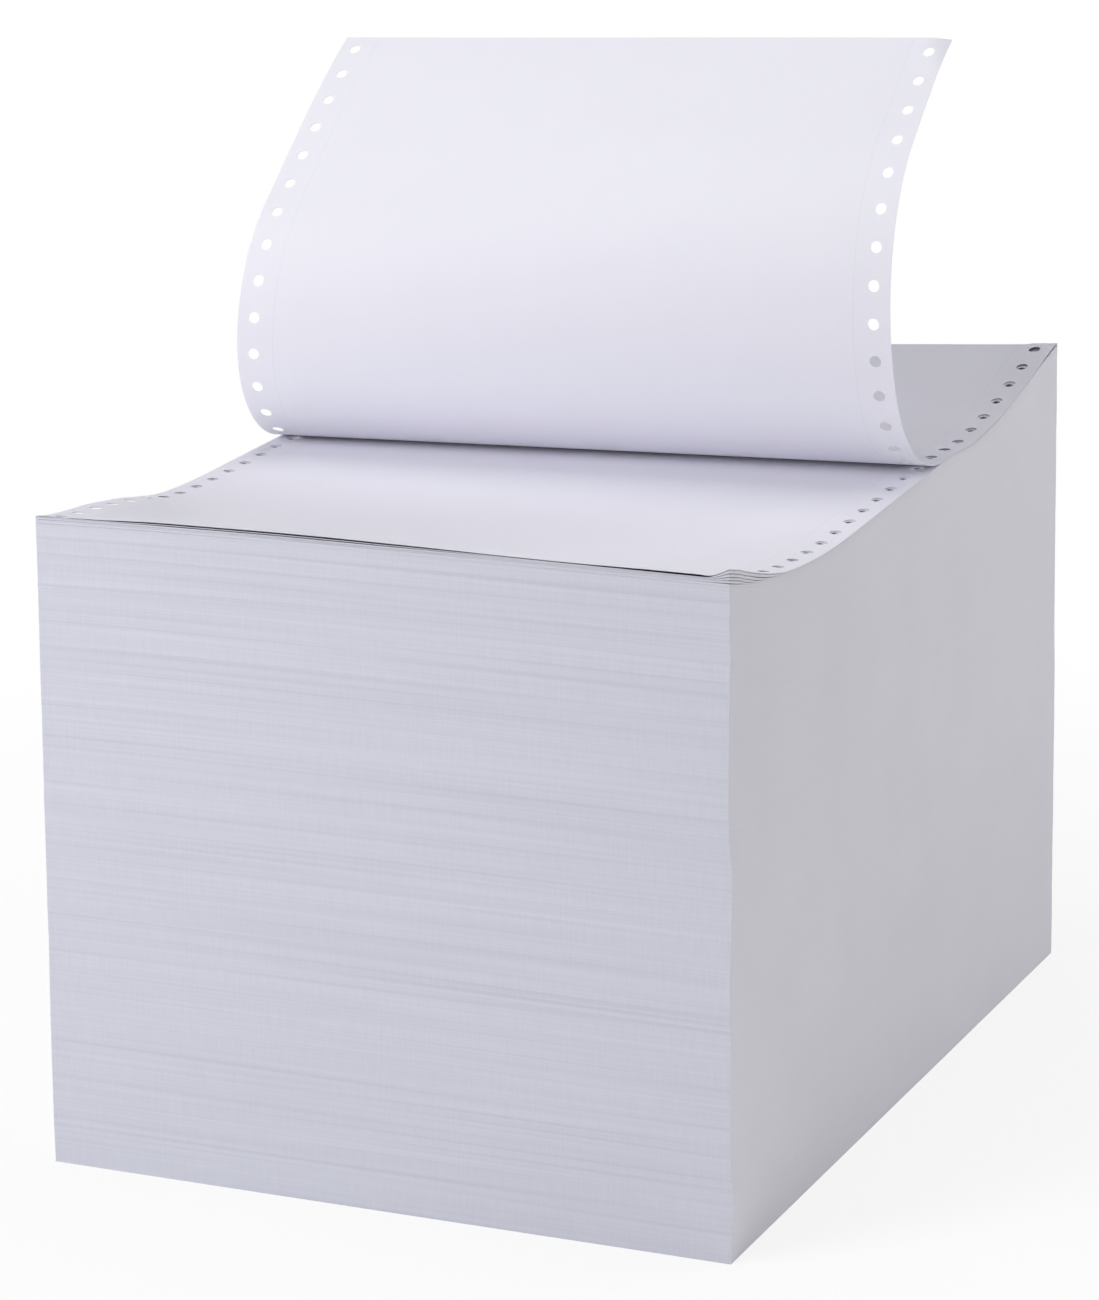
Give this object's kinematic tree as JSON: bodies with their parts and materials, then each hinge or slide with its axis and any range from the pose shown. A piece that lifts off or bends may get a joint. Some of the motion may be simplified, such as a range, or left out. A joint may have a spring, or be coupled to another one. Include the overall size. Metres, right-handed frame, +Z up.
{
  "type": "stack of continuous form paper",
  "caption": "Fan-folded web of blank listing paper with sprocket holes down both sides, in a tall stack whose first page curls up and back.",
  "frame": {"origin": "centre of the stack's bottom face", "axes": "+X along the folds to the right, +Y from the front folds to the back folds, +Z up"},
  "size_m": [0.24, 0.3048, 0.353],
  "materials": {
    "paper": "matte"
  },
  "bodies": {
    "root": {"continuous_form": "paper"}
  },
  "joints": []
}
